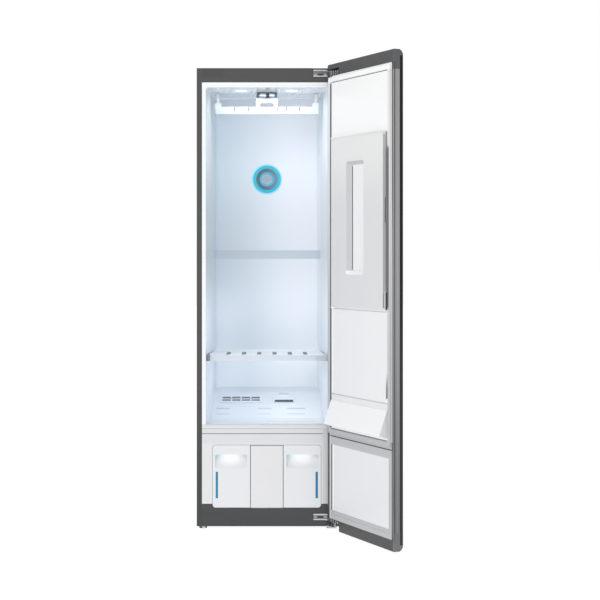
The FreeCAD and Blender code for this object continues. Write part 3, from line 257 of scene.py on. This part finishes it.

# dark bands: the kick panel darker towards the floor as painted shade, blank at the top left, hinge
# recesses painted dark as shade, a painted shadow line over the upper leaf, and the kick panel's
# seam
trim = Finish("dark_trim", "#474748", rough=0.45, grain=0.04, grain_size=300, bump=0.04)
trim.paint("#3c3e3f", trim.below("Z", 0.2, 0.05))
trim.paint("#424243", trim.below("X", -0.1865), trim.above("Z", 1.926))
trim.paint("#2c2c2d", trim.above("Y", 0.001), X=(0.19, 0.272))
trim.paint("#101011", X=(0.196, 0.262), Z=(1.9532, 1.9575))
trim.paint("#1e1f20", trim.below("X", -0.2752), Z=(0.066, 0.113))
dress(trim, "top_band", "kick_panel")

# door caps: painted shade on the inner face at the top and on the bottom cap, painted light on the
# bottom cap's end face, and the slot of the hinge arms painted dark as shade
cap = Finish("dark_cap", "#5c5d5e", rough=0.4, grain=0.04, grain_size=300, bump=0.04, door=True)
cap.paint("#4d4e4f", cap.above("X", -0.293, -0.289), cap.above("Z", 1.8))
cap.paint("#323334", cap.below("Z", 0.1))
cap.paint("#6d6f71", cap.below("X", -0.289, -0.293), cap.below("Z", 0.1))
cap.paint("#2e2f30", cap.above("X", 0.187), cap.above("Y", -0.045), cap.below("Y", -0.0085))
dress(cap, "door_top_cap", "door_bottom_cap")

zinc = Finish("zinc", "#8d9092", rough=0.35, metal=1.0, grain=0.08, grain_size=40, bump=0.03)
dress(zinc, "base_pan")

# chamber: painted shade to the left, groove band, the two side walls in painted light and shade,
# and painted light at the low left
liner = Finish("chamber_liner", "#eef2f8", rough=0.34, grain=0.01, grain_size=60, bump=0.01,
               coat=0.1)
inside = liner.above("Y", 0.004, 0.02)
liner.paint("#d6e1ea", inside, liner.below("X", 0.2, -0.24))
liner.paint("#ccd6df", inside, Z=(1.147, 1.186))
liner.paint("#d5dadb", inside, liner.below("X", -0.2405, -0.243))
liner.paint("#e2e8ef", inside, liner.above("X", 0.238, 0.242))
liner.paint("#e9f0f8", inside, liner.below("X", -0.05, -0.2), liner.below("Z", 1.1, 0.85))
# glossy ceiling painted lighter as light, its slots painted dark as shade, rim, and the lip under
# the chamber
liner.paint("#f3f7fb", liner.above("Z", 1.870, 1.876))
liner.paint("#20262a", liner.above("Z", 1.8808), liner.above("Y", 0.06))
liner.polish(0.09, liner.above("Z", 1.876))
liner.paint("#f2f5f7", liner.below("Y", 0.006, 0.002))
liner.paint("#e0e2e3", liner.below("Z", 0.4465), liner.below("Y", 0.02))
# painted halo of light round the light ring, painted shade dimming the middle of the back, and
# faint ribs of the floor
halo = liner.ramp(liner.around("X", "Z", diffuser_xz, (1, 1)), 0.0715, 0.0655)
liner.paint("#93e6f6", liner.above("Y", 0.3), halo)
liner.dim(0.93, liner.above("Z", 0.95, 1.2), liner.below("Z", 1.6, 1.3), inside)
ribs = liner.either(*(liner.within("X", lo, hi, 0.006)
                      for lo, hi in ((-0.225, -0.165), (-0.04, 0.02), (0.09, 0.17))))
liner.paint("#ccd4de", ribs, Y=(0.3010, 0.3110, 0.001))
liner.paint("#d6dde6", ribs, Y=(0.2640, 0.2720, 0.001))
liner.paint("#d2d7df", liner.below("Z", 0.452), X=(-0.235, 0.235, 0.01), Y=(0.098, 0.114, 0.002))
dress(liner, "chamber_liner")

yoke = Finish("white_plastic", "#dde2e7", **gloss)
dress(yoke, "hanger_yoke")

# hanger bar: the cuts in its lower face, and its stems inside the ceiling painted dark as shade
bar = Finish("hanger_bar", "#d3d8de", **gloss)
cuts = bar.either(bar.within("X", -0.0015, 0.0015),
                  *(bar.within("X", x - 0.002, x + 0.002)
                    for x in (-0.143, -0.081, 0.048, 0.085, 0.144)))
bar.paint("#66727c", cuts, Z=(1.7965, 1.8175))
bar.paint("#4c565e", bar.above("Z", 1.8785))
dress(bar, "hanger_bar")

# shelf: painted shade inside its slots, the front lip in painted shade with the door's painted
# shadow on its right end, and the left lug
shelf = Finish("shelf_white", "#f4f8fc", **gloss)
shelf.paint("#7c858d", shelf.below("Z", 0.7365), shelf.above("Y", 0.034))
lip = shelf.below("Y", 0.0325, 0.0315)
shelf.paint("#c9d0da", lip)
shelf.paint("#bcc3cd", lip, shelf.above("X", 0.2, 0.215))
shelf.paint("#808a93", shelf.below("X", -0.2425), shelf.below("Y", 0.05))
dress(shelf, "shelf")

# filter and outlet: body below the floor, the mouth of the outlet painted dark as shade, bars of
# the filter's grid, and the outlet's tab in painted shade; over_floor is the height with the slope
# of the floor taken off
fitting = Finish("floor_fitting", "#eaf0f8", **gloss)
floor_slope = 0.54444
over_floor = fitting.calc("MULTIPLY_ADD", fitting.axis("Y"), -floor_slope, fitting.axis("Z"))
fitting.paint("#727b84", fitting.ramp(over_floor, 0.3185, 0.3170))
fitting.paint("#39434b", X=(0.0345, 0.1175), Y=(0.3443, 0.3555))
fitting.paint("#bcc6d0", X=(-0.200, -0.032), Y=(0.366, 0.374))
fitting.paint("#c4ceda", fitting.ramp(over_floor, 0.3225, 0.3240))
dress(fitting, "steam_outlet", "lint_filter")

# lower front: painted shade at the top, groove and upper edge, top line of the middle panel, and
# the right margin in the door's painted shadow
front = Finish("front_white", "#e3e3e5", rough=0.38, grain=0.012, grain_size=80, bump=0.01,
               coat=0.08)
front.paint("#dcdde0", front.above("Z", 0.357, 0.372))
front.paint("#8f9294", front.either(front.above("Z", 0.4266), front.within("Z", 0.4043, 0.4077)))
front.paint("#929496", X=(-0.069, 0.069), Z=(0.3536, 0.3572))
front.paint("#d6d7d9", front.above("X", 0.232, 0.244))
dress(front, "lower_front_panel", "tank_bay")

# ceiling lenses, which glow on their lower face in an oval round each lamp
lamp = Finish("lamp_lens", "#dfe8f0", rough=0.3, grain=0.02, grain_size=120, bump=0.0)
spots = lamp.either(*(lamp.ramp(lamp.around("X", "Y", (x, 0.126), (0.033, 0.055)), 1.0, 0.3)
                      for x in (-0.109, 0.109)))
lamp.light("#f6faff", 1.0, lamp.both(lamp.below("Z", 1.882, 1.880), spots))
dress(lamp, "ceiling_lamps")

# round fitting: paler to the right, with a light inner ring
housing = Finish("diffuser_grey", "#4d6d79", rough=0.45, grain=0.05, grain_size=200, bump=0.03)
housing.paint("#6c8797", housing.above("X", -0.02, 0.05))
off_centre = housing.around("X", "Z", diffuser_xz, (1, 1))
housing.paint("#60b9da", housing.ramp(off_centre, 0.0335, 0.0325))
dress(housing, "diffuser_housing")
ring = Finish("diffuser_light", "#1593ad", rough=0.3, grain=0.03, grain_size=100, bump=0.0)
ring.light("#14c3e2", 0.35)
dress(ring, "diffuser_light_ring")
mesh = Finish("diffuser_mesh", "#c9d0d8", rough=0.5, metal=0.3, grain=0.35, grain_size=170,
              bump=0.05)
dress(mesh, "diffuser_mesh")

# chrome cup: a painted dark reflection in the middle, painted light reflections on its sides, and
# its top inside the ceiling painted dark as shade
chrome = Finish("chrome", "#c9ccd0", rough=0.12, metal=1.0, grain=0.03, grain_size=60, bump=0.0)
chrome.paint("#30373c", X=(-0.004, 0.011, 0.003))
chrome.paint("#8f9aa2", chrome.either(chrome.above("X", 0.028, 0.036),
                                      chrome.below("X", -0.026, -0.034)))
chrome.paint("#5d676e", chrome.above("Z", 1.872))
dress(chrome, "hanger_dome")
black = Finish("rocker_black", "#2b2e31", rough=0.4, grain=0.06, grain_size=200, bump=0.02)
dress(black, "hanger_rocker")

# machinery
grey = Finish("machine_grey", "#6d6e70", rough=0.55, grain=0.06, grain_size=120, bump=0.05)
dress(grey, "air_duct", "control_box", "water_pump", "drain_pump", "steam_generator",
      "power_inlet", "blower_wheel")
cast = Finish("cast_case", "#9a9c9e", rough=0.4, metal=1.0, grain=0.08, grain_size=90, bump=0.06)
dress(cast, "hanger_motor", "blower_motor")
fins = Finish("fins", "#b9bcbe", rough=0.3, metal=1.0, grain=0.06, grain_size=300, bump=0.04,
              stretch=(1, 12, 1))
dress(fins, "evaporator", "condenser")
enamel = Finish("black_enamel", "#1d1e20", rough=0.25, grain=0.05, grain_size=60, bump=0.02,
                coat=0.4)
dress(enamel, "compressor")

# tanks: a painted glow of light in the grip, a painted cyan glow in its upper left corner, and the
# level window
for side, x, level_blue in (("left", -tank_x, "#1d84aa"), ("right", tank_x, "#0672a4")):
    tank = Finish("tank_front_" + side, "#e5e7e9", rough=0.34, grain=0.012, grain_size=80,
                  bump=0.01, coat=0.1)
    grip = tank.both(tank.above("Y", 0.0005, 0.003), tank.within("Z", 0.2595, 0.3185))
    grip_end = x - 0.066
    tank.paint("#bfe3ea", grip, tank.below("X", grip_end + 0.024, grip_end),
               tank.above("Z", 0.286, 0.312))
    # distance from the middle of the grip's painted glow
    painted_glow_distance = tank.around("X", "Z", (x - 0.006, 0.330), (1, 1))
    tank.light("#f4fbff", 0.26, tank.both(grip, tank.ramp(painted_glow_distance, 0.085, 0.015)))
    dress(tank, "tank_%s_front" % side)
    blue = Finish("level_" + side, level_blue, rough=0.55, grain=0.06, grain_size=30, bump=0.0)
    dress(blue, "tank_%s_window" % side)
vessel = Finish("vessel", "#b7c8d4", rough=0.3, grain=0.03, grain_size=60, bump=0.01)
dress(vessel, "tank_left_vessel", "tank_right_vessel")

# hinges: the slots of the two leaves painted dark as shade, and a painted shadow under the lower
# arm
plated = Finish("plated_steel", "#a2a3a4", rough=0.3, metal=1.0, grain=0.08, grain_size=150,
                bump=0.03)
dress(plated, "hinge_screws")
plate = Finish("hinge_plate", "#c6c8c9", **satin)
for low, high in ((1.9285, 1.9485), (0.0425, 0.0595)):
    plate.paint("#7a7c7e", Z=(low, high, 0.001))
plate.paint("#4a4d4f", Z=(0.0153, 0.0365))
dress(plate, "hinge_bracket_top", "hinge_bracket_bottom")
block = Finish("hinge_block", "#8b8d8f", door=True, **satin)
# the hinge blocks' ribs as stripes of painted highlight and painted shade
rib_pitch = 0.022
wave = block.calc("SINE", block.calc("MULTIPLY", block.axis("X"), 2 * math.pi / rib_pitch))
block.paint("#e8e9ea", block.ramp(wave, 0.1, 0.5))
block.paint("#2b2c2d", block.ramp(wave, -0.3, -0.7))
dress(block, "door_hinge_block_top", "door_hinge_block_bottom")

# feet: a dark disc with a painted highlight in the middle
feet = Finish("foot_steel", "#b4b5b6", rough=0.3, metal=0.8, grain=0.08, grain_size=200, bump=0.02)
feet.paint("#303132", feet.below("Z", 0.0075))
foot_x = 0.268
shine = feet.either(*(feet.within("X", x - 0.007, x + 0.006, 0.002) for x in (-foot_x, foot_x)))
feet.paint("#f4f5f5", shine, Z=(0.002, 0.0062, 0.001))
dress(feet, "foot_front_left", "foot_front_right")

# door pane with its paler end face
glass = Finish("dark_glass", "#0e0f11", rough=0.12, grain=0.02, grain_size=20, bump=0.0, door=True)
glass.paint("#2e2e30", glass.below("X", -0.297), glass.below("Y", -0.0438))
dress(glass, "door_glass")

# rails: painted shade darker downwards, then the groove, the edge by the trim, and painted shade on
# the ridge's inner side lower down
rail = Finish("rail_aluminium", "#aeaeb0", rough=0.35, metal=0.6, grain=0.05, grain_size=60,
              bump=0.03, stretch=(1, 1, 0.02), door=True)
rail.paint("#7d7e7f", rail.below("Z", 1.3, 0.1))
rail.paint("#242425", rail.below("X", rail_face), Y=(-0.0136, -0.0101))
rail.paint("#0c0c0d", rail.below("X", rail_face), rail.below("Y", -0.0331))
rail.paint("#6b6c6e", rail.above("Y", -0.0101), rail.above("X", -0.2925), rail.below("Z", 1.6, 1.0))
dress(rail, "door_rail_hinge", "door_rail_free")
foam = Finish("foam", "#4b4c4e", rough=0.8, grain=0.1, grain_size=300, bump=0.1, door=True)
dress(foam, "door_core")

# flap and sheet: the flap a brighter white than the sheet as painted light, the flap's ends in
# painted shade, and painted shade beside the sheet's lower corner
door_white = Finish("door_white", "#fefefe", **sheen)
door_white.paint("#f0f0f1", door_white.above("Z", 0.5645))
flap_ends = door_white.either(door_white.below("X", -0.2518), door_white.above("X", 0.2518))
door_white.paint("#b4b6b8", flap_ends, Z=(0.447, 0.5575))
door_white.paint("#66686a", door_white.below("X", -0.2490, -0.2500),
                 door_white.above("Z", 0.583, 0.589), door_white.below("Z", 0.715, 0.635))
dress(door_white, "press_sheet", "drip_flap")

# upper door liner: a painted shade line round the raised field
field = Finish("door_field", "#fdfdfd", **sheen)
low_line, high_line = field_z[0] - field_line, field_z[1] + field_line
outer_half = field_half + field_line
inner = field.both(field.within("X", -field_half, field_half), field.within("Z", *field_z))
outer = field.both(field.within("X", -outer_half, outer_half),
                   field.within("Z", low_line, high_line))
field.paint("#8d8f91", outer, field.calc("SUBTRACT", 1.0, inner))
# painted shade in the gap between sheet and flap, darker at its top, the shade at the hinge side,
# and the painted shadow beside the press, darker at its foot
gap = field.both(field.within("X", -field_half, field_half), field.within("Z", 0.5555, 0.5870))
field.paint("#ecedef", gap)
field.paint("#c2c4c6", gap, field.above("Z", 0.5815))
field.paint("#a0a2a4", field.above("X", 0.2505), field.above("Z", 0.5))
field.paint("#86878a", X=(-0.2620, -0.2475), Z=press_z)
field.paint("#4a4b4c", X=(-0.2570, -0.2475), Z=(press_z[0], 1.018, 0.004))
# the plain margin below, and the liner's side in painted shade, darker upwards
field.paint("#b9bcbe", field.below("Z", low_line))
field.paint("#5c5d5f", field.below("X", liner_side))
field.paint("#38393a", field.below("X", liner_side), field.above("Z", 1.1, 1.5))
dress(field, "door_liner_upper")

# lower door liner: the hinge side painted lighter as light, a painted shade line beside the inset
# panel, and the liner's side in painted shade
door_grey = Finish("door_grey", "#bcbec0", rough=0.45, grain=0.02, grain_size=120, bump=0.02,
                   door=True)
door_grey.paint("#cdcfd1", door_grey.above("X", 0.262, 0.266))
door_grey.paint("#55585a", X=(0.2545, 0.2630), Z=(0.093, 0.37))
door_grey.paint("#86888a", door_grey.below("X", liner_side))
dress(door_grey, "door_liner_lower")
inset = Finish("inset_panel", "#e8eaec", rough=0.4, grain=0.012, grain_size=90, bump=0.01,
               door=True)
# a painted highlight along the inset panel's hinge-side edge
inset.paint("#ffffff", inset.above("X", 0.236, 0.246))
dress(inset, "door_inset_panel")

# gasket: painted light making it paler upwards and on the top run, the free side greyer and darker
# lower down as painted shade, a painted shade line at the hinge side, foot, and the press's painted
# shadow beside it
seal = Finish("gasket", "#c3c5c6", rough=0.6, grain=0.03, grain_size=300, bump=0.05, door=True)
seal.paint("#ededed", seal.above("Z", 0.5, 1.89))
seal.paint("#fdfdfd", seal.above("Z", gasket_top))
free_side = seal.both(seal.below("X", -0.2675), seal.below("Z", gasket_top))
seal.paint("#e6e6e6", free_side)
seal.paint("#c4c5c6", free_side, seal.below("Z", 1.7, 0.5))
seal.paint("#77797b", X=(0.2580, 0.2594), Z=(0.44, 1.89))
seal.paint("#b9bcbe", seal.below("Z", 0.436))
seal.paint("#77787a", X=(-0.2695, -0.2575), Z=press_z)
dress(seal, "door_gasket")

# press cover: painted light towards the top, the slopes round its window in painted light and
# shade, its side in painted shade, deeper at the foot, and the finger notch
press = Finish("press_grey", "#dedfe0", **matt)
press.paint("#e9e9e8", press.above("Z", 1.35, 1.6))
slope = press.both(press.below("Y", 0.0162), press.within("X", -0.08, 0.075),
                   press.within("Z", 1.08, 1.55))
press.paint("#c9c9cb", slope)
press.paint("#c2c2c4", slope, press.above("Z", 1.532, 1.536))
press.paint("#fdfdfd", slope, press.below("Z", 1.104, 1.100))
press.paint("#adadaf", press.below("X", press_side))
press.paint("#77777a", press.below("X", press_side), press.below("Z", *press_foot))
press.paint("#4a4a4b", press.below("X", -0.248), press.below("Y", 0.0078), Z=(1.294, 1.391))
dress(press, "press_cover")

# press base: the painted shade line seen through the window, and its side in painted shade, deeper
# at the foot
base = Finish("press_base", "#f2f2f3", **matt)
base.paint("#444446", X=(0.036, 0.0435), Z=(1.1, 1.534))
base.paint("#a3a3a6", base.below("X", base_side))
base.paint("#565658", base.below("X", base_side), base.below("Z", *press_foot))
dress(base, "press_base")

edge_width = 0.0008
soften(edge_width, "top_band", "kick_panel", "hanger_bar", "hanger_yoke", "shelf", "door_top_cap",
       "door_bottom_cap", "door_rail_hinge", "door_rail_free", "press_sheet", "drip_flap",
       "press_base", "press_cover", "lower_front_panel", "tank_left_front", "tank_right_front",
       "door_liner_lower", "hinge_bracket_top", "hinge_bracket_bottom", "lint_filter",
       "steam_outlet")


# -------------------------------------------------------------------- stage
floor_size = 40.0
floor_middle = (0, 8, 0)
bpy.ops.mesh.primitive_plane_add(size=floor_size, location=floor_middle)
floor = bpy.context.object
floor.name = "floor"
pale = Finish("floor_pale", "#989898", rough=0.9, grain=0.005, grain_size=3, bump=0.0)
pale.light("#ffffff", 0.9)
floor.data.materials.append(pale.done())

# The world is white to the camera and through glass, and half as bright as a light.
background_level = 1.0
world_light = 0.5
world = bpy.data.worlds.new("studio")
scene.world = world
world.use_nodes = True
tree = world.node_tree
background = tree.nodes["Background"]
background.inputs["Color"].default_value = (1, 1, 1, 1)
path = tree.nodes.new("ShaderNodeLightPath")
seen = tree.nodes.new("ShaderNodeMath")
seen.operation = "MAXIMUM"
tree.links.new(path.outputs["Is Camera Ray"], seen.inputs[0])
tree.links.new(path.outputs["Is Transmission Ray"], seen.inputs[1])
level = tree.nodes.new("ShaderNodeMapRange")
level.inputs["To Min"].default_value = world_light
level.inputs["To Max"].default_value = background_level
tree.links.new(seen.outputs[0], level.inputs["Value"])
tree.links.new(level.outputs[0], background.inputs["Strength"])


def area(name, at, aim, size, power, colour=(1, 1, 1)):
    """A rectangular light; the places are metres from the front plane, the power is in watts."""
    data = bpy.data.lights.new(name, "AREA")
    data.shape = "RECTANGLE"
    data.size, data.size_y = size
    data.energy = power
    data.color = colour
    light = bpy.data.objects.new(name, data)
    scene.collection.objects.link(light)
    at = Vector(at) + Vector((0, front_y, 0))
    aim = Vector(aim) + Vector((0, front_y, 0))
    light.location = at
    light.rotation_mode = "QUATERNION"
    light.rotation_quaternion = (aim - at).to_track_quat("-Z", "Y")
    light.visible_camera = False


# studio lights, then the lights of the chamber: under the ceiling, in its mouth and on the floor
cool = (0.95, 0.98, 1.0)
cool_low = (0.96, 0.98, 1.0)
area("key", (-3.2, -4.2, 3.6), (0.1, 0.1, 1.1), (2.4, 2.4), 60)
area("high_fill", (-0.9, -3.4, 4.0), (0.2, 0, 1.2), (2.2, 2.2), 16)
area("front_fill", (0.6, -5.0, 1.4), (0, 0.3, 1.1), (2.5, 2.5), 22)
area("chamber_lamps", (0, 0.13, 1.86), (0, 0.2, 1.0), (0.4, 0.16), 0.5, (0.93, 0.97, 1.0))
area("chamber_high", (0, 0.004, 1.62), (0, 0.4, 1.62), (0.46, 0.24), 0.33, cool)
area("chamber_middle", (0, 0.004, 0.88), (0, 0.4, 0.88), (0.46, 0.22), 0.26, cool)
area("chamber_foot", (0, 0.004, 0.6), (0, 0.4, 0.6), (0.46, 0.2), 0.21, cool_low)
area("chamber_low", (0, 0.2, 0.7), (0, 0.3, 0.45), (0.4, 0.2), 0.34, cool_low)

# ------------------------------------------------------------------- camera
# The photo's camera, held level: places in metres, focal length and middle of view in pixels.
distance = 6.71                     # from the front plane
side_shift = 0.0136
camera_height = 1.176
focal_px = 1578.2
centre_px = (270.0, 252.5)
side_px = 600.0
sensor_mm = 36.0
cam_data = bpy.data.cameras.new("camera")
cam_data.sensor_width = sensor_mm
cam_data.lens = sensor_mm * focal_px / side_px
cam_data.shift_x = (side_px / 2 - centre_px[0]) / side_px
cam_data.shift_y = (centre_px[1] - side_px / 2) / side_px
cam = bpy.data.objects.new("camera", cam_data)
scene.collection.objects.link(cam)
cam.location = (side_shift, front_y - distance, camera_height)
cam.rotation_euler = (math.radians(90), 0, 0)
scene.camera = cam
scene.view_settings.view_transform = "Standard"
